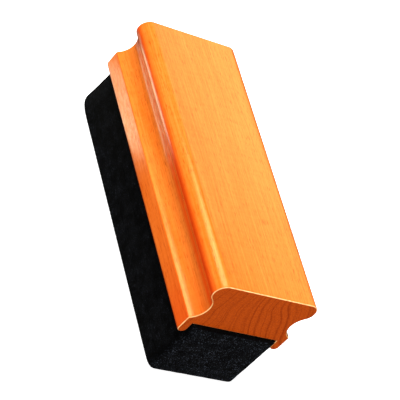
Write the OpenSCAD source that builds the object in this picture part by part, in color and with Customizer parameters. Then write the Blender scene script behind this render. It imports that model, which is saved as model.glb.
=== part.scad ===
// Chalkboard eraser: a moulded hardwood handle with finger coves along both sides and a channel
// underneath, and a thick pad of laminated felt glued into that channel.
// The long axis runs along X, and the eraser stands on its wiping face at z = 0.
// The origin is the middle of the wiping face.

/* [Handle] */
// Length of the handle
handle_l = 140; // [110:1:180]
// Width over the beads, and over the flanges below them
handle_w = 51; // [46:0.5:60]
// Thickness of the handle from the floor of its channel to its flat top
handle_t = 25; // [24:0.5:32]
// Radius of the rounded bead along each side of the top
bead_r = 5; // [4:0.25:5.5]
// Radius of the finger cove under each bead
cove_r = 7.5; // [6.5:0.25:8]
// Depth of the finger cove, in from the face of the flange
cove_d = 4.7; // [3.5:0.1:5.2]
// How far the lips reach down beside the pad
lip_drop = 5.8; // [4:0.1:8]
// Thickness of each lip, which ends in a full round
lip_t = 4.2; // [3:0.1:5]
// How far the handle sits off the middle of the pad, towards +X
handle_shift = 1.5; // [0:0.25:2]

/* [Felt pad] */
// Length of the pad
pad_l = 145; // [140:1:185]
// Gap between the pad and the lip on each side
pad_gap = 0.6; // [0.3:0.1:1.5]
// Thickness of one felt layer
felt_t = 7.8; // [6:0.1:10]
// Radius of the pad's upright corners
pad_corner_r = 4; // [1:0.5:8]

/* [Glue] */
// Thickness of each film of contact cement
glue_t = 0.2; // [0.1:0.05:0.4]
// How far each film stops short of the felt's edges
glue_inset = 1.5; // [0.5:0.25:3]

/* [Hidden] */
$fn = 96;

wood_colour = "darkorange";
felt_colour = "dimgray";
glue_colour = "khaki";

// Channel and pad widths
channel_w = handle_w - 2 * lip_t;
pad_w = channel_w - 2 * pad_gap;

// One step of the stack is a felt layer with the glue film on top of it
step = felt_t + glue_t;
layers = 4;
channel_z = layers * step;

// The bead's centre, and the cove's centre where the two arcs run into each other smoothly
bead_y = handle_w / 2 - bead_r;
bead_z = handle_t - bead_r;
cove_y = handle_w / 2 - cove_d + cove_r;
cove_z = bead_z - sqrt(pow(bead_r + cove_r, 2) - pow(cove_y - bead_y, 2));

// Cutters run this far past what they cut
past = 1;

// What is cut from the blank's side: the cove, and the corner outside the line from the bead's
// centre to the cove's centre
module side_cut() {
    translate([cove_y, cove_z]) circle(r = cove_r);
    polygon([
        [bead_y, bead_z],
        [bead_y, handle_t + past],
        [handle_w / 2 + past, handle_t + past],
        [handle_w / 2 + past, cove_z],
        [cove_y, cove_z]
    ]);
}

// The end view of the handle, with z = 0 at the channel's floor
module moulding() {
    lip_r = lip_t / 2;
    difference() {
        translate([-handle_w / 2, lip_r - lip_drop]) {
            square([handle_w, handle_t + lip_drop - lip_r]);
        }
        translate([-channel_w / 2, -lip_drop]) square([channel_w, lip_drop]);
        side_cut();
        mirror([1, 0]) side_cut();
    }
    for (side = [-1, 1]) {
        translate([side * bead_y, bead_z]) circle(r = bead_r);
        translate([side * (handle_w / 2 - lip_r), lip_r - lip_drop]) circle(r = lip_r);
    }
}

// A rounded rectangle of the pad's outline, smaller by inset all round
module pad_outline(inset) {
    r = pad_corner_r;
    l = pad_l - 2 * inset;
    w = pad_w - 2 * inset;
    square([l - 2 * r, w], center = true);
    square([l, w - 2 * r], center = true);
    for (sx = [-1, 1], sy = [-1, 1]) {
        translate([sx * (l / 2 - r), sy * (w / 2 - r)]) circle(r = r);
    }
}

// Felt layer number i of the stack, counted up from the wiping layer at 0
module felt_layer(i) {
    color(felt_colour) translate([0, 0, i * step]) linear_extrude(felt_t) pad_outline(0);
}

// The film of contact cement on top of felt layer number i
module glue_film(i) {
    color(glue_colour) translate([0, 0, i * step + felt_t]) linear_extrude(glue_t) {
        pad_outline(glue_inset);
    }
}

module wooden_handle() {
    color(wood_colour) translate([handle_shift - handle_l / 2, 0, channel_z]) {
        rotate([90, 0, 90]) linear_extrude(handle_l) moulding();
    }
}

// The film that holds the pad to the floor of the channel stays under the handle
module handle_glue_film() {
    color(glue_colour) translate([handle_shift, 0, channel_z - glue_t]) {
        linear_extrude(glue_t) {
            square([handle_l - 2 * glue_inset, pad_w - 2 * glue_inset], center = true);
        }
    }
}

module felt_seat_layer() { felt_layer(3); }
module felt_upper_layer() { felt_layer(2); }
module felt_lower_layer() { felt_layer(1); }
module felt_wiping_layer() { felt_layer(0); }

module upper_glue_film() { glue_film(2); }
module middle_glue_film() { glue_film(1); }
module lower_glue_film() { glue_film(0); }

wooden_handle();
handle_glue_film();
felt_seat_layer();
upper_glue_film();
felt_upper_layer();
middle_glue_film();
felt_lower_layer();
lower_glue_film();
felt_wiping_layer();
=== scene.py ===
"""Chalkboard eraser: a lacquered wooden handle over a thick pad of four glued layers of black felt."""

import math

import bmesh
import bpy
from mathutils import Matrix, Vector, noise


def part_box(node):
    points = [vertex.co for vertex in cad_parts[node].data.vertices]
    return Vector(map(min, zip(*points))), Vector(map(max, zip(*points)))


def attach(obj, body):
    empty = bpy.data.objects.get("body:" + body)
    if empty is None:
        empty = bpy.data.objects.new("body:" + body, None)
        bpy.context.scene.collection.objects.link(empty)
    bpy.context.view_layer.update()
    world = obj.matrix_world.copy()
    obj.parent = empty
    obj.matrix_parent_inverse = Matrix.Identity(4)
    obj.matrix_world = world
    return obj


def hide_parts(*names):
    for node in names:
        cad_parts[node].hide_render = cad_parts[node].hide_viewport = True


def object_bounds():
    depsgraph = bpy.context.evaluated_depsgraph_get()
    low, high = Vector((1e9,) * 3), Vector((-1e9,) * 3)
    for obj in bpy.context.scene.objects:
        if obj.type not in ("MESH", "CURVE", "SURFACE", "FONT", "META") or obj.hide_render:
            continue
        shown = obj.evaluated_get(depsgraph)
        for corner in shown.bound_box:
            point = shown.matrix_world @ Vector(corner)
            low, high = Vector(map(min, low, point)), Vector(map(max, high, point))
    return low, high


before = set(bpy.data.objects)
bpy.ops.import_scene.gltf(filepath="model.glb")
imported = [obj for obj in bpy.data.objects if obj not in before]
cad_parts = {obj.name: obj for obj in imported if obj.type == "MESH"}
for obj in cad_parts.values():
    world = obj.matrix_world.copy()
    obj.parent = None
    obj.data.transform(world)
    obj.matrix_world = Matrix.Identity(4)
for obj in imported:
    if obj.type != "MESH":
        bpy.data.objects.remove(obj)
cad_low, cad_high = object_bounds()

MM = 0.001
BODY = "root"
CENTRE = (cad_low + cad_high) / 2

# The camera, placed round the middle of the eraser
CAMERA_AZIMUTH = 45.12
CAMERA_ELEVATION = 34.71
CAMERA_ROLL = 44.08
CAMERA_DISTANCE = 722.7 * MM
CAMERA_LENS = 155.2
AIM_FROM_CENTRE = Vector((2.16, 3.64, 1.59)) * MM

# The moulding's end view. Y is across the handle and Z is up, as in the CAD.
handle_low, handle_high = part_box("wooden_handle")
CHANNEL_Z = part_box("handle_glue_film")[1].z
HALF_W = (handle_high.y - handle_low.y) / 2
BEAD_R = 5 * MM
COVE_R = 7.5 * MM
COVE_DEPTH = 4.7 * MM
LIP_R = 2.1 * MM
BEAD_Y = HALF_W - BEAD_R
BEAD_Z = handle_high.z - BEAD_R
COVE_Y = HALF_W - COVE_DEPTH + COVE_R
COVE_Z = BEAD_Z - math.sqrt((BEAD_R + COVE_R) ** 2 - (COVE_Y - BEAD_Y) ** 2)
LIP_Y = HALF_W - LIP_R
LIP_Z = handle_low.z + LIP_R

# How far the handle's sharp edges are sanded back
END_EASE = 0.6 * MM
ARRIS_EASE = 0.45 * MM
CHANNEL_EASE = 0.3 * MM
# Flat faces keep a row of points this close to the arcs beside them, which keeps them flat to the eye
SUPPORT = 0.4 * MM
# The handle's mesh: steps round each arc of its end view, and from ring to ring along its length
BEAD_STEPS = 40
COVE_STEPS = 36
LIP_STEPS = 24
EASE_STEPS = 5
RING_STEP = 7 * MM

# Shares of painted shade: all along the flange, and the darkening that the last stretches towards the +X end
# add
FLANGE_SHADE_SHARE = 0.30
FLANGE_END_DARKENING = 0.30
FLANGE_END_STRETCH = (40 * MM, 68 * MM)
COVE_END_DARKENING = 0.35
COVE_END_STRETCH = (35 * MM, 68 * MM)
# How far a surface looks down, as minus the normal's Z, where the painted shade starts and where it is full
BEAD_SHADE_TILT = (-0.55, 0.28)
COVE_SHADE_TILT = (-0.05, 0.33)
# Shares of the painted reflection, a pale film on the front, and the stretches, measured from the middle
# towards -X, where it builds up and then thins
FLANGE_REFLECTION_SHARE = 0.17
FLANGE_REFLECTION_RISE = (2 * MM, 27 * MM)
FLANGE_REFLECTION_LOSS = 0.11
FLANGE_REFLECTION_FALL = (30 * MM, 58 * MM)
CREASE_REFLECTION_SHARE = 0.30
CREASE_REFLECTION_RISE = (-8 * MM, 18 * MM)
CREASE_REFLECTION_LOSS = 0.06
CREASE_REFLECTION_FALL = (35 * MM, 65 * MM)
CREASE_REFLECTION_TILT = (0.0, 0.3)
# The rims' wear and painted highlight are strongest where they face halfway between the end and the side, and
# absent this far from that
WEAR_AND_HIGHLIGHT_MIDDLE = math.sqrt(0.5)
WEAR_AND_HIGHLIGHT_SPREAD = 0.25
# Points that face the end more squarely than this belong to its flat face, which gets neither wear nor
# painted highlight
WEAR_AND_HIGHLIGHT_LIMIT = 0.93

# The pad's outline. It leans a little towards -X on its way down, and spreads a little below the lips.
PAD_TOP_ENDS = (-70.7 * MM, 73.3 * MM)
PAD_BOTTOM_ENDS = (-73.8 * MM, 72.1 * MM)
PAD_TOP_HALF_W = 20.8 * MM
PAD_BOTTOM_HALF_W = 21.5 * MM
# Half-axes along X and Y of the pad's upright corners, by the signs of X and Y
PAD_CORNERS = {
    (1, -1): (5.4 * MM, 2.9 * MM),
    (1, 1): (3.0 * MM, 2.2 * MM),
    (-1, -1): (13.0 * MM, 4.6 * MM),
    (-1, 1): (9.0 * MM, 4.0 * MM),
}
FELT_STEP = 1.2 * MM
SEAM_R = 0.15 * MM
# The layers' edges bulge this far into the film gaps round them, past the films' own edges
SEAM_BULGE = 0.08 * MM
WIPING_RIM_R = 2.2 * MM
# Shallow lumps on the sides of the felt: how far they stand out, how wide they are, and which part of the
# noise they come from; then how fast its finer octaves fade, how much finer each is, and how many there are
LUMP_HEIGHT = 0.10 * MM
LUMP_SIZE = 3.5 * MM
LUMP_PLACE = Vector((11.0, 7.0, 3.0))
LUMP_FADE = 0.9
LUMP_FINENESS = 2.1
LUMP_OCTAVES = 3


# ---------------------------------------------------------------- camera


def turned(azimuth, elevation):
    a = math.radians(azimuth)
    e = math.radians(elevation)
    return Vector((math.sin(a) * math.cos(e), -math.cos(a) * math.cos(e), math.sin(e)))


def make_camera():
    back = turned(CAMERA_AZIMUTH, CAMERA_ELEVATION)
    level = Vector((-back.y, back.x, 0)).normalized()
    up = back.cross(level)
    roll = math.radians(CAMERA_ROLL)
    right = level * math.cos(roll) + up * math.sin(roll)
    data = bpy.data.cameras.new("camera")
    data.lens = CAMERA_LENS
    data.sensor_width = 36
    data.clip_start = 0.05
    data.clip_end = 50
    camera = bpy.data.objects.new("camera", data)
    bpy.context.scene.collection.objects.link(camera)
    turn = Matrix((right, back.cross(right), back)).transposed().to_4x4()
    camera.matrix_world = Matrix.Translation(CENTRE + AIM_FROM_CENTRE + back * CAMERA_DISTANCE) @ turn
    bpy.context.scene.camera = camera


# ---------------------------------------------------------------- node helpers


class Nodes:
    """A material's node tree, built one call per node."""

    def __init__(self, name):
        self.material = bpy.data.materials.new(name)
        self.material.use_nodes = True
        self.tree = self.material.node_tree
        self.shader = self.tree.nodes["Principled BSDF"]
        self.coords = self.tree.nodes.new("ShaderNodeTexCoord")

    def fill(self, node, inputs):
        for name, value in inputs.items():
            socket = node.inputs[name]
            if isinstance(value, bpy.types.NodeSocket):
                self.tree.links.new(value, socket)
            else:
                socket.default_value = value

    def make(self, kind, inputs, output=0, **settings):
        node = self.tree.nodes.new("ShaderNode" + kind)
        for name, value in settings.items():
            setattr(node, name, value)
        self.fill(node, inputs)
        return node.outputs[output]

    def math(self, operation, a, b=0.0, c=0.0):
        return self.make("Math", {0: a, 1: b, 2: c}, operation=operation)

    def millimetres(self, scale):
        """The object's own coordinates in millimetres, times scale along each axis."""
        per_metre = [s / MM for s in scale]
        place = self.coords.outputs["Object"]
        return self.make("VectorMath", {0: place, 1: per_metre}, operation="MULTIPLY")

    def end_facing(self):
        """How squarely a face looks along X, from 0 on the long sides to 1 on the ends."""
        return self.math("ABSOLUTE", self.make("SeparateXYZ", {"Vector": self.coords.outputs["Normal"]}))

    def painted(self, name):
        """The share from 0 to 1 that the mesh's own points carry under that name."""
        return self.make("Attribute", {}, output="Fac", attribute_name=name)

    def noise(self, vector, detail=2.0, roughness=0.5, distortion=0.0):
        """Noise of about one lump per unit of vector."""
        settings = {"Scale": 1.0, "Detail": detail, "Roughness": roughness, "Distortion": distortion}
        return self.make("TexNoise", {"Vector": vector, **settings})

    def spread(self, value, low, high, to_low=0.0, to_high=1.0, smooth=True):
        """Value taken from the range low..high to the range to_low..to_high, and held there outside it."""
        inputs = {"Value": value, "From Min": low, "From Max": high, "To Min": to_low, "To Max": to_high}
        kind = "SMOOTHSTEP" if smooth else "LINEAR"
        return self.make("MapRange", inputs, interpolation_type=kind)

    def weighted(self, *parts):
        """The sum of several (value, weight) pairs, each value times its weight."""
        total = 0.0
        for value, weight in parts:
            total = self.math("MULTIPLY_ADD", value, weight, total)
        return total

    def mix(self, share, a, b):
        """Colour a where share is 0, and colour b where it is 1."""
        node = self.tree.nodes.new("ShaderNodeMix")
        node.data_type = "RGBA"
        colours = [s for s in node.inputs if s.type == "RGBA"]
        factor = next(s for s in node.inputs if s.type == "VALUE")
        for socket, value in ((factor, share), (colours[0], a), (colours[1], b)):
            if isinstance(value, bpy.types.NodeSocket):
                self.tree.links.new(value, socket)
            else:
                socket.default_value = value
        return next(s for s in node.outputs if s.type == "RGBA")

    def bump(self, height, distance, strength):
        return self.make("Bump", {"Height": height, "Distance": distance, "Strength": strength})


def grey(level):
    return (level, level, level, 1.0)


# ---------------------------------------------------------------- materials

# Stain on the long grain: its palest and deepest, in the pores, and the painted shade under the bead and on
# the flange
STAIN_LIGHT = (0.90, 0.242, 0.034, 1.0)
STAIN_DARK = (0.64, 0.108, 0.0008, 1.0)
STAIN_PORE = (0.46, 0.050, 0.001, 1.0)
PAINTED_SHADE = (0.73, 0.048, 0.0002, 1.0)
# Wood with its stain rubbed off, which on the rims also serves as a painted highlight, and a painted
# reflection laid on as a pale film in the lacquer
WORN_WOOD_AND_HIGHLIGHT = (1.0, 0.72, 0.32, 1.0)
PAINTED_REFLECTION = (1.0, 0.90, 0.52, 1.0)
# Stain on the end grain, between the growth lines and on them
END_LIGHT = (0.60, 0.088, 0.0055, 1.0)
END_DARK = (0.22, 0.020, 0.0010, 1.0)

# The felt's mat in its hollows, darker there as painted shade, and on its tufts, its pale fibres, and the
# dust caught in it
FELT_HOLLOW_SHADE = (0.0006, 0.0006, 0.0007, 1.0)
FELT_TUFT = (0.0022, 0.0023, 0.0027, 1.0)
FELT_PALE = (0.030, 0.034, 0.044, 1.0)
FELT_LINT = (0.078, 0.092, 0.120, 1.0)

CEMENT_THIN = (0.55, 0.42, 0.20, 1.0)
CEMENT_THICK = (0.30, 0.19, 0.07, 1.0)

# How the growth rings lie, in millimetres: their lean on the middle plane, what each millimetre of Y adds to
# that, the height that they lean about, their drift across the grain along X, and how far they wander
RING_LEAN = 0.25
RING_LEAN_BY_Y = 0.02
RING_PIVOT_Z = 45.0
RING_DRIFT = -0.045
RING_WANDER = 9.0
# The growth coordinates between which the colour pales from the -Y flange towards +Y: painted light, shaded
# on the -Y side and lit towards +Y
DARK_SIDE_GROWTH = -22.0
PALE_SIDE_GROWTH = 26.0


def growth_coordinate(n):
    """Millimetres across the growth rings: they stand upright on the -Y side and lean over towards +Y."""
    x, y, z = n.make("SeparateXYZ", {"Vector": n.millimetres((1, 1, 1))}).node.outputs
    lean = n.math("MULTIPLY_ADD", y, RING_LEAN_BY_Y, RING_LEAN)
    height = n.math("SUBTRACT", z, RING_PIVOT_Z)
    leaning = n.math("MULTIPLY_ADD", height, lean, y)
    drifting = n.math("MULTIPLY_ADD", x, RING_DRIFT, leaning)
    wander = n.noise(n.millimetres((0.012, 0.05, 0.05)), detail=1.0)
    return n.math("MULTIPLY_ADD", wander, RING_WANDER, drifting)


def growth_lines(n, rings):
    """From 0 on the dark lines between growth rings to 1 away from them."""
    place = n.make("CombineXYZ", {"X": n.math("MULTIPLY", rings, 0.55), "Y": 3.0})
    return n.spread(n.noise(place, detail=3.0, roughness=0.7), 0.36, 0.52)


def long_grain(n, rings, lines, streaks, ripple, pores):
    """Colour of the long faces: streaked stain, growth lines, dark pores, painted shade under the bead and on
    the flange, and a painted reflection as a pale film.
    """
    ring_place = n.make("CombineXYZ", {"X": n.math("MULTIPLY", rings, 0.42)})
    ring_tone = n.noise(ring_place, detail=4.0, roughness=0.62)
    blotches = n.noise(n.millimetres((0.035, 0.09, 0.09)), detail=2.0)
    tone = n.weighted(
        (n.spread(ring_tone, 0.32, 0.66), 0.22),
        (n.spread(streaks, 0.32, 0.68), 0.38),
        (n.spread(blotches, 0.25, 0.75), 0.10),
        (n.spread(ripple, 0.30, 0.70), 0.12),
        # Painted light: paler towards +Y and darkest on the -Y flange
        (n.spread(rings, DARK_SIDE_GROWTH, PALE_SIDE_GROWTH, smooth=False), 0.44),
    )
    colour = n.mix(tone, STAIN_DARK, STAIN_LIGHT)
    broken = n.spread(n.noise(n.millimetres((0.05, 0.6, 0.6)), detail=3.0), 0.40, 0.62)
    dark_lines = n.math("MULTIPLY", n.math("SUBTRACT", 1.0, lines), broken)
    colour = n.mix(n.math("MULTIPLY", dark_lines, 0.30), colour, STAIN_PORE)
    colour = n.mix(n.math("MULTIPLY", pores, 0.75), colour, STAIN_PORE)
    # Painted shade: darker, deeper orange where faces look down under the bead and on the flange, and towards
    # the +X end
    colour = n.mix(n.spread(n.painted("painted_shade"), 0.0, 1.0), colour, PAINTED_SHADE)
    # A painted reflection: a pale film on the front's -X half, under the bead and on the flange
    mottle = n.noise(n.millimetres((0.22, 0.9, 0.8)), detail=4.0, roughness=0.7)
    reflection = n.math("MULTIPLY", n.painted("painted_reflection"), n.spread(mottle, 0.34, 0.66, 0.35, 1.45))
    return n.mix(reflection, colour, PAINTED_REFLECTION)


def end_grain(n, lines):
    """Colour of the two ends: growth lines and specks in the deepest stain."""
    specks = n.spread(n.noise(n.millimetres((1.2, 1.6, 1.6)), detail=4.0, roughness=0.7), 0.3, 0.7)
    return n.mix(n.weighted((lines, 0.45), (specks, 0.45)), END_DARK, END_LIGHT)


def lacquered_wood():
    """Orange stain on a straight-grained hardwood, under a gloss lacquer. End grain drinks more stain."""
    n = Nodes("lacquered_wood")
    rings = growth_coordinate(n)
    lines = growth_lines(n, rings)
    streaks = n.noise(n.millimetres((0.02, 1.7, 1.7)), detail=3.0, roughness=0.6)
    ripple = n.noise(n.millimetres((0.75, 0.16, 0.16)), detail=2.0, distortion=0.4)
    pores = n.spread(n.noise(n.millimetres((0.26, 3.0, 3.0)), detail=1.0), 0.58, 0.74)

    end_share = n.spread(n.end_facing(), 0.85, 0.98)
    colour = n.mix(end_share, long_grain(n, rings, lines, streaks, ripple, pores), end_grain(n, lines))
    # Paler rubbed wood on the rims of the ends, which also serves as a painted highlight there
    patchy = n.spread(n.noise(n.millimetres((0.5, 0.5, 0.5)), detail=3.0), 0.30, 0.55, 0.45, 1.0)
    colour = n.mix(n.math("MULTIPLY", n.painted("edge_wear_and_highlight"), patchy), colour, WORN_WOOD_AND_HIGHLIGHT)

    wood_relief = n.weighted((streaks, 0.5), (pores, -0.6))
    coat_relief = n.math("MULTIPLY_ADD", ripple, 0.8, wood_relief)
    n.fill(
        n.shader,
        {
            "Base Color": colour,
            "Roughness": n.spread(streaks, 0.2, 0.8, 0.36, 0.46),
            "Specular IOR Level": 0.10,
            "Coat Weight": 1.0,
            "Coat Roughness": 0.12,
            "Coat IOR": 1.5,
            "Coat Normal": n.bump(coat_relief, 0.03 * MM, 0.5),
            "Normal": n.bump(wood_relief, 0.05 * MM, 0.5),
        },
    )
    return n.material


def black_felt():
    """Pressed wool: a dark mat of crossing fibres. Pale ones and specks of dust show most on its cut ends."""
    n = Nodes("black_felt")
    fibres_along = n.noise(n.millimetres((0.9, 3.6, 3.6)), detail=3.0, roughness=0.65, distortion=1.2)
    fibres_across = n.noise(n.millimetres((3.6, 3.4, 0.9)), detail=3.0, roughness=0.65, distortion=1.2)
    mat = n.math("MAXIMUM", fibres_along, fibres_across)
    clumps = n.noise(n.millimetres((0.25, 0.25, 0.25)), detail=3.0)
    pale = n.spread(mat, 0.58, 0.74)
    tufts = n.spread(clumps, 0.35, 0.70)
    # Painted shade: the mat is darker where its relief is low
    body = n.mix(tufts, FELT_HOLLOW_SHADE, FELT_TUFT)
    cut_end = n.spread(n.end_facing(), 0.3, 0.9, 0.20, 1.0)
    pale_share = n.math("MULTIPLY", n.math("MULTIPLY", pale, 0.8), cut_end)
    colour = n.mix(pale_share, body, FELT_PALE)
    lint = n.noise(n.millimetres((1.7, 1.7, 1.7)), detail=2.0, roughness=0.8)
    lint_share = n.math("MULTIPLY", n.spread(lint, 0.57, 0.70), n.spread(clumps, 0.35, 0.60, 0.30, 1.0))
    colour = n.mix(n.math("MULTIPLY", lint_share, cut_end), colour, FELT_LINT)
    relief = n.math("MULTIPLY_ADD", clumps, 0.6, mat)
    n.fill(
        n.shader,
        {
            "Base Color": colour,
            "Roughness": 0.95,
            "Specular IOR Level": 0.03,
            "Sheen Weight": 0.004,
            "Sheen Roughness": 0.6,
            "Normal": n.bump(relief, 0.35 * MM, 0.8),
        },
    )
    return n.material


def contact_cement():
    """Brushed-on rubber cement, dried to an amber skin that is thicker along the brush marks."""
    n = Nodes("contact_cement")
    strokes = n.noise(n.millimetres((0.05, 0.8, 0.8)), detail=3.0, roughness=0.6)
    dimples = n.noise(n.millimetres((0.7, 0.7, 0.7)), detail=2.0)
    thick = n.weighted((strokes, 0.6), (dimples, 0.4))
    colour = n.mix(n.spread(thick, 0.3, 0.7), CEMENT_THIN, CEMENT_THICK)
    n.fill(
        n.shader,
        {
            "Base Color": colour,
            "Roughness": n.spread(dimples, 0.3, 0.7, 0.35, 0.6),
            "Normal": n.bump(thick, 0.08 * MM, 0.7),
        },
    )
    return n.material


# ---------------------------------------------------------------- wooden handle


def arc(centre_y, centre_z, radius, start, end, steps):
    """Points along an arc of the end view, both its ends among them."""
    points = []
    for i in range(steps + 1):
        angle = start + (end - start) * i / steps
        points.append(Vector((centre_y + radius * math.cos(angle), centre_z + radius * math.sin(angle))))
    return points


def eased(start, corner, end):
    """Points inside a corner that is rounded over from start to end."""
    points = []
    for i in range(1, EASE_STEPS):
        t = i / EASE_STEPS
        points.append(start * (1 - t) ** 2 + corner * 2 * t * (1 - t) + end * t**2)
    return points


def half_outline(inset):
    """Half of the handle's end view, shrunk by inset, from the middle of its top to that of its channel."""
    top = handle_high.z - inset
    side = HALF_W - inset
    wall = HALF_W - 2 * LIP_R + inset
    floor = CHANNEL_Z + inset
    cove = COVE_R + inset
    blend = math.atan2(COVE_Z - BEAD_Z, COVE_Y - BEAD_Y)
    arris_angle = math.acos((COVE_Y - side) / cove)
    arris = Vector((side, COVE_Z - cove * math.sin(arris_angle)))
    below_arris = arris - Vector((0, ARRIS_EASE))
    corner = Vector((wall, floor))

    points = [Vector((0, top)), Vector((BEAD_Y - SUPPORT, top))]
    points += arc(BEAD_Y, BEAD_Z, BEAD_R - inset, math.pi / 2, blend, BEAD_STEPS)
    cove_end = math.pi + arris_angle - ARRIS_EASE / cove
    points += arc(COVE_Y, COVE_Z, cove, math.pi + blend, cove_end, COVE_STEPS)[1:]
    points += eased(points[-1], arris, below_arris)
    points += [below_arris, below_arris - Vector((0, SUPPORT)), Vector((side, LIP_Z + SUPPORT))]
    points += arc(LIP_Y, LIP_Z, LIP_R - inset, 0, -math.pi, LIP_STEPS)
    points += [Vector((wall, LIP_Z + SUPPORT)), corner - Vector((0, CHANNEL_EASE + SUPPORT))]
    up_wall = corner - Vector((0, CHANNEL_EASE))
    along_floor = corner - Vector((CHANNEL_EASE, 0))
    points += [up_wall, *eased(up_wall, corner, along_floor), along_floor]
    points += [along_floor - Vector((SUPPORT, 0)), Vector((0, floor))]
    return points


def outline(inset):
    """The whole of the handle's end view, shrunk by inset."""
    half = half_outline(inset)
    mirrored = [Vector((-p.x, p.y)) for p in reversed(half[1:-1])]
    return half + mirrored


def handle_rings():
    """(x, inset) of each ring of points along the handle, its two ends rounded over."""
    turns = [math.radians(a) for a in (90, 75, 60, 45, 30, 15, 0)]
    rim = [(END_EASE * (1 - math.sin(a)), END_EASE * (1 - math.cos(a))) for a in turns]
    straight = handle_high.x - handle_low.x - 2 * END_EASE
    count = round(straight / RING_STEP)
    rings = [(handle_low.x + depth, inset) for depth, inset in rim]
    rings.append((handle_low.x + END_EASE + SUPPORT, 0))
    rings += [(handle_low.x + END_EASE + straight * i / count, 0) for i in range(1, count)]
    rings.append((handle_high.x - END_EASE - SUPPORT, 0))
    rings += [(handle_high.x - depth, inset) for depth, inset in reversed(rim)]
    return rings


def link_mesh(name, bm, material):
    """Makes an object of bm with that material, and hangs it under its body's empty."""
    mesh = bpy.data.meshes.new(name)
    bm.to_mesh(mesh)
    bm.free()
    mesh.materials.append(material)
    piece = bpy.data.objects.new(name, mesh)
    bpy.context.scene.collection.objects.link(piece)
    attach(piece, BODY)
    return piece


def ramp(value, low, high):
    """Value taken from the range low..high to 0..1, and held there outside it."""
    return min(max((value - low) / (high - low), 0.0), 1.0)


def on_end(vert):
    return abs(vert.normal.x) > 0.5


def on_flange(vert):
    """True on the flat outer face of either flange, and of the lip below it."""
    return abs(vert.co.y) > HALF_W - ARRIS_EASE / 2 and vert.co.z < COVE_Z


def on_bead(vert):
    return math.hypot(abs(vert.co.y) - BEAD_Y, vert.co.z - BEAD_Z) < BEAD_R * 1.01


def painted_shade(vert):
    """From 0 to 1: painted shade where faces look down under the bead and all along the flange, growing
    darker towards the +X end.
    """
    if on_end(vert) or abs(vert.co.y) < BEAD_Y - COVE_DEPTH:
        return 0.0
    if on_flange(vert):
        return FLANGE_SHADE_SHARE + FLANGE_END_DARKENING * ramp(vert.co.x, *FLANGE_END_STRETCH)
    low_down = vert.co.z < COVE_Z + COVE_R / 2
    end_darkening = COVE_END_DARKENING * ramp(vert.co.x, *COVE_END_STRETCH) if low_down else 0.0
    tilt = BEAD_SHADE_TILT if on_bead(vert) else COVE_SHADE_TILT
    return max(ramp(-vert.normal.z, *tilt), end_darkening)


def painted_reflection(vert):
    """From 0 to 1: a painted reflection, laid on as a pale film on the front, under the bead and on the
    flange, towards -X.
    """
    if vert.co.y > 0 or on_end(vert):
        return 0.0
    if on_flange(vert) and vert.normal.z < 0.1:
        gain = FLANGE_REFLECTION_SHARE * ramp(-vert.co.x, *FLANGE_REFLECTION_RISE)
        return gain - FLANGE_REFLECTION_LOSS * ramp(-vert.co.x, *FLANGE_REFLECTION_FALL)
    beside_crease = vert.co.z > COVE_Z - SUPPORT and vert.co.y < -BEAD_Y + COVE_DEPTH
    if not beside_crease:
        return 0.0
    gain = CREASE_REFLECTION_SHARE * ramp(-vert.co.x, *CREASE_REFLECTION_RISE)
    along = gain - CREASE_REFLECTION_LOSS * ramp(-vert.co.x, *CREASE_REFLECTION_FALL)
    return along * ramp(-vert.normal.z, *CREASE_REFLECTION_TILT)


def edge_wear_and_highlight(vert):
    """From 0 to 1: the rounded rims of both ends are rubbed through to paler wood, which also serves as a
    painted highlight along them.
    """
    across = abs(vert.normal.x)
    if across >= WEAR_AND_HIGHLIGHT_LIMIT:
        return 0.0
    return max(1 - abs(across - WEAR_AND_HIGHLIGHT_MIDDLE) / WEAR_AND_HIGHLIGHT_SPREAD, 0.0)


def make_handle():
    bm = bmesh.new()
    rules = (painted_shade, painted_reflection, edge_wear_and_highlight)
    layers = [(bm.verts.layers.float.new(rule.__name__), rule) for rule in rules]
    rings = []
    for x, inset in handle_rings():
        rings.append([bm.verts.new((x, p.x, p.y)) for p in outline(inset)])
    for a, b in zip(rings, rings[1:]):
        for i in range(len(a)):
            j = (i + 1) % len(a)
            bm.faces.new((a[i], a[j], b[j], b[i])).smooth = True
    for ring in (rings[0], rings[-1]):
        cap = bm.faces.new(ring)
        for edge in cap.edges:
            edge.smooth = False
    bmesh.ops.recalc_face_normals(bm, faces=bm.faces)
    bm.normal_update()
    for layer, rule in layers:
        for vert in bm.verts:
            vert[layer] = rule(vert)
    handle = link_mesh("handle", bm, lacquered_wood())
    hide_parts("wooden_handle")


# ---------------------------------------------------------------- felt pad


def between(a, b, share):
    return a + (b - a) * share


def felt_place(u, v, z, inset):
    """Where a point of the pad's plan lies, its corners rounded. U and v run from -1 to 1 along X and Y."""
    share = (z - cad_low.z) / (CHANNEL_Z - cad_low.z)
    low_x = between(PAD_BOTTOM_ENDS[0], PAD_TOP_ENDS[0], share) + inset
    high_x = between(PAD_BOTTOM_ENDS[1], PAD_TOP_ENDS[1], share) - inset
    half_w = between(PAD_BOTTOM_HALF_W, PAD_TOP_HALF_W, share) - inset
    x = between(low_x, high_x, (u + 1) / 2)
    y = half_w * v
    a, b = PAD_CORNERS[(1 if u > 0 else -1, 1 if v > 0 else -1)]
    a = max(a - inset, 0.5 * MM)
    b = max(b - inset, 0.5 * MM)
    over_x = max(x - (high_x - a), 0) / a if u > 0 else min(x - (low_x + a), 0) / a
    over_y = max(abs(y) - (half_w - b), 0) / b
    if over_x == 0 or over_y == 0:
        return Vector((x, y, z))
    pull = max(abs(over_x), over_y) / math.hypot(over_x, over_y)
    edge_x = high_x - a if u > 0 else low_x + a
    new_y = half_w - b + over_y * pull * b
    return Vector((edge_x + over_x * pull * a, math.copysign(new_y, y), z))


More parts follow.
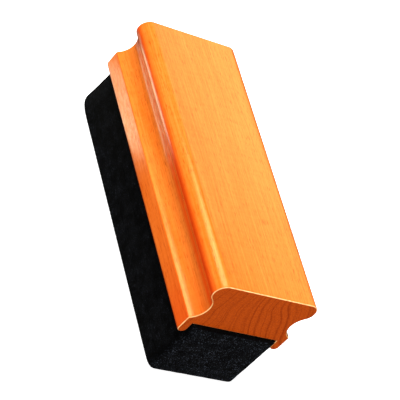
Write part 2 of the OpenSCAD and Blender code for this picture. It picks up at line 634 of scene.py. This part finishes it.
def felt_levels(low_z, high_z, low_r, high_r):
    """(z, inset) of each ring up the side of a layer, its two rims rounded over."""
    turns = [math.radians(a) for a in (90, 70, 50, 30, 12, 0)]
    rim = [(1 - math.sin(a), 1 - math.cos(a)) for a in turns]
    levels = [(low_z + low_r * height, low_r * inset) for height, inset in rim]
    straight = high_z - low_z - low_r - high_r
    count = max(round(straight / FELT_STEP), 2)
    levels += [(low_z + low_r + straight * i / count, 0) for i in range(1, count)]
    levels += [(high_z - high_r * height, high_r * inset) for height, inset in reversed(rim)]
    return levels


def rim_cells(columns, rows):
    """The cells round the edge of a grid of points, in order."""
    front = [(i, 0) for i in range(columns)]
    right = [(columns, j) for j in range(rows)]
    back = [(i, rows) for i in range(columns, 0, -1)]
    left = [(0, j) for j in range(rows, 0, -1)]
    return front + right + back + left


def make_felt_layer(node, material, low_r, high_r):
    """One layer of the pad: flat gridded faces below and above, and a side with two rounded rims."""
    low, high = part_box(node)
    columns = round((high.x - low.x) / FELT_STEP)
    rows = round((high.y - low.y) / FELT_STEP)
    rim = rim_cells(columns, rows)
    bm = bmesh.new()

    def point(cell, z, inset):
        return bm.verts.new(felt_place(2 * cell[0] / columns - 1, 2 * cell[1] / rows - 1, z, inset))

    low_edge = low.z if node == "felt_wiping_layer" else low.z - SEAM_BULGE
    high_edge = high.z if node == "felt_seat_layer" else high.z + SEAM_BULGE
    levels = felt_levels(low_edge, high_edge, low_r, high_r)
    rings = [[point(cell, z, inset) for cell in rim] for z, inset in levels]
    for a, b in zip(rings, rings[1:]):
        for i in range(len(a)):
            j = (i + 1) % len(a)
            bm.faces.new((a[i], a[j], b[j], b[i]))
    for ring, z, inset in ((rings[0], low.z, levels[0][1]), (rings[-1], high.z, levels[-1][1])):
        grid = dict(zip(rim, ring))
        for i in range(1, columns):
            for j in range(1, rows):
                grid[(i, j)] = point((i, j), z, inset)
        for i in range(columns):
            for j in range(rows):
                bm.faces.new((grid[(i, j)], grid[(i + 1, j)], grid[(i + 1, j + 1)], grid[(i, j + 1)]))
    bmesh.ops.recalc_face_normals(bm, faces=bm.faces)
    for face in bm.faces:
        face.smooth = True
    press(bm)
    layer = link_mesh(node + "_pressed", bm, material)
    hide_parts(node)


def press(bm):
    """Gives the sides of a felt layer the shallow lumps of pressed wool. Its flat faces stay flat."""
    bm.normal_update()
    moves = []
    for vert in bm.verts:
        side = math.hypot(vert.normal.x, vert.normal.y)
        place = vert.co / LUMP_SIZE + LUMP_PLACE
        lumps = noise.fractal(place, LUMP_FADE, LUMP_FINENESS, LUMP_OCTAVES)
        moves.append(vert.normal * (lumps * LUMP_HEIGHT * side))
    for vert, move in zip(bm.verts, moves):
        vert.co += Vector((move.x, move.y, 0))


def make_pad():
    felt = black_felt()
    layers = ("felt_wiping_layer", "felt_lower_layer", "felt_upper_layer", "felt_seat_layer")
    for node in layers:
        low_r = WIPING_RIM_R if node == layers[0] else SEAM_R
        make_felt_layer(node, felt, low_r, SEAM_R)


def finish_glue():
    """The films keep their CAD shapes and take on the look of cement."""
    cement = contact_cement()
    for name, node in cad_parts.items():
        if name.endswith("glue_film"):
            node.data.materials.clear()
            node.data.materials.append(cement)


# ---------------------------------------------------------------- studio


# The floor lies this far below the wiping face
FLOOR_GAP = 0.2 * MM
FLOOR_SIZE = 24
FLOOR_COLOUR = 0.82
FLOOR_GLOW = 0.8

# Levels of the even light all round, and of what the lacquer mirrors of it
EVEN_LIGHT = 0.25
MIRRORED_LIGHT = 0.004

# Name, way from the eraser, distance and size in metres, and level on a white surface that faces it
SOFTBOXES = (
    ("overhead_softbox", (-0.20, -0.42, 0.88), 1.0, 0.7, 1.92),
    ("front_softbox", (0.30, -0.92, 0.20), 1.2, 0.6, 0.10),
    ("low_fill", (0.10, -0.75, -0.65), 1.2, 0.8, 0.20),
    ("end_softbox", (0.95, 0.10, 0.20), 1.4, 0.5, 0.78),
    ("far_softbox", (-0.95, -0.25, 0.10), 1.4, 0.5, 0.6),
)

UP = Vector((0, 0, 1))
RIM_WAY = Vector((0.57, 0.58, 0.58))
LOW_RIM_WAY = Vector((0.58, -0.60, -0.40))
WARM = (1.0, 0.85, 0.36)
STRAW = (1.0, 1.0, 0.52)
CREAM = (1.0, 1.0, 0.66)
AMBER = (1.0, 0.85, 0.5)
# Name, centre, size in metres, way it faces, colour, level, and how far its edges fade in.
# The low card lies under the floor, which the lacquer doesn't mirror.
CARDS = (
    ("overhead_card", Vector((-245, -125, 550)) * MM, (0.31, 0.62), -UP, WARM, 7.6, 0.7),
    ("sky_card", Vector((-650, 550, 460)) * MM, (0.9, 0.9), -UP, STRAW, 1.15, 0.6),
    ("low_card", Vector((-76, -46, -1)) * MM, (0.066, 0.046), UP, CREAM, 2.0, 0.35),
    ("rim_card", RIM_WAY * 0.6, (0.4, 0.4), -RIM_WAY, AMBER, 6.0, 0.5),
    ("low_rim_card", LOW_RIM_WAY * 0.5, (0.3, 0.3), -LOW_RIM_WAY, AMBER, 5.0, 0.5),
)


def flat_square(name, size):
    """A square of that size, flat on its own XY plane."""
    bm = bmesh.new()
    bmesh.ops.create_grid(bm, x_segments=1, y_segments=1, size=size / 2)
    mesh = bpy.data.meshes.new(name)
    bm.to_mesh(mesh)
    bm.free()
    square = bpy.data.objects.new(name, mesh)
    bpy.context.scene.collection.objects.link(square)
    return square


def make_floor():
    """A plain pale floor. The lacquer doesn't mirror it, and it throws no light back on the object."""
    floor = flat_square("floor", FLOOR_SIZE)
    floor.location.z = cad_low.z - FLOOR_GAP
    n = Nodes("floor")
    n.fill(
        n.shader,
        {
            "Base Color": grey(FLOOR_COLOUR),
            "Roughness": 1.0,
            "Specular IOR Level": 0.0,
            "Emission Color": grey(1.0),
            "Emission Strength": FLOOR_GLOW,
        },
    )
    floor.data.materials.append(n.material)
    floor.visible_diffuse = False
    floor.visible_glossy = False
    floor.visible_shadow = False


def glow(name, colour, level, soft):
    """A material that glows, and fades out over the outer share, soft, of each half of its square."""
    n = Nodes(name)
    n.tree.nodes.remove(n.shader)
    place = n.make("SeparateXYZ", {"Vector": n.coords.outputs["Object"]}).node
    from_middle = [n.math("ABSOLUTE", place.outputs[axis]) for axis in ("X", "Y")]
    fades = [n.spread(share, 0.5 - soft / 2, 0.5, 1.0, 0.0) for share in from_middle]
    strength = n.math("MULTIPLY", n.math("MULTIPLY", *fades), level)
    emission = n.make("Emission", {"Color": (*colour, 1.0), "Strength": strength})
    out = n.tree.nodes["Material Output"]
    n.tree.links.new(emission, out.inputs["Surface"])
    n.material.cycles.emission_sampling = "NONE"
    return n.material


def make_card(name, centre, size, facing, colour, level, soft):
    """A soft-edged reflector card. It shows only in the lacquer."""
    card = flat_square(name, 1.0)
    card.rotation_mode = "QUATERNION"
    card.rotation_quaternion = facing.to_track_quat("Z", "Y")
    card.location = centre
    card.scale = (size[0], size[1], 1)
    card.data.materials.append(glow(name, colour, level, soft))
    card.visible_camera = False
    card.visible_diffuse = False
    card.visible_shadow = False


def make_softbox(name, way, distance, size, level):
    """A square softbox. It lights the diffuse colours and doesn't show in the lacquer."""
    data = bpy.data.lights.new(name, "AREA")
    data.shape = "SQUARE"
    data.size = size
    data.energy = level * math.pi**2 * distance**2
    light = bpy.data.objects.new(name, data)
    bpy.context.scene.collection.objects.link(light)
    towards = Vector(way).normalized()
    light.location = CENTRE + towards * distance
    light.rotation_euler = towards.to_track_quat("Z", "Y").to_euler()
    light.visible_glossy = False


def make_world():
    """Dim, even light all round, dimmer still in the lacquer, and a white backdrop past the floor's edge."""
    world = bpy.data.worlds.new("studio")
    bpy.context.scene.world = world
    world.use_nodes = True
    tree = world.node_tree
    tree.nodes.clear()
    path = tree.nodes.new("ShaderNodeLightPath")

    def background(level):
        node = tree.nodes.new("ShaderNodeBackground")
        node.inputs["Color"].default_value = grey(level)
        return node.outputs[0]

    light = background(EVEN_LIGHT)
    for level, ray in ((MIRRORED_LIGHT, "Is Glossy Ray"), (1.0, "Is Camera Ray")):
        choose = tree.nodes.new("ShaderNodeMixShader")
        tree.links.new(path.outputs[ray], choose.inputs[0])
        tree.links.new(light, choose.inputs[1])
        tree.links.new(background(level), choose.inputs[2])
        light = choose.outputs[0]
    out = tree.nodes.new("ShaderNodeOutputWorld")
    tree.links.new(light, out.inputs["Surface"])


def make_studio():
    bpy.context.scene.view_settings.view_transform = "Standard"
    make_floor()
    make_world()
    for softbox in SOFTBOXES:
        make_softbox(*softbox)
    for card in CARDS:
        make_card(*card)


make_camera()
make_handle()
make_pad()
finish_glue()
make_studio()
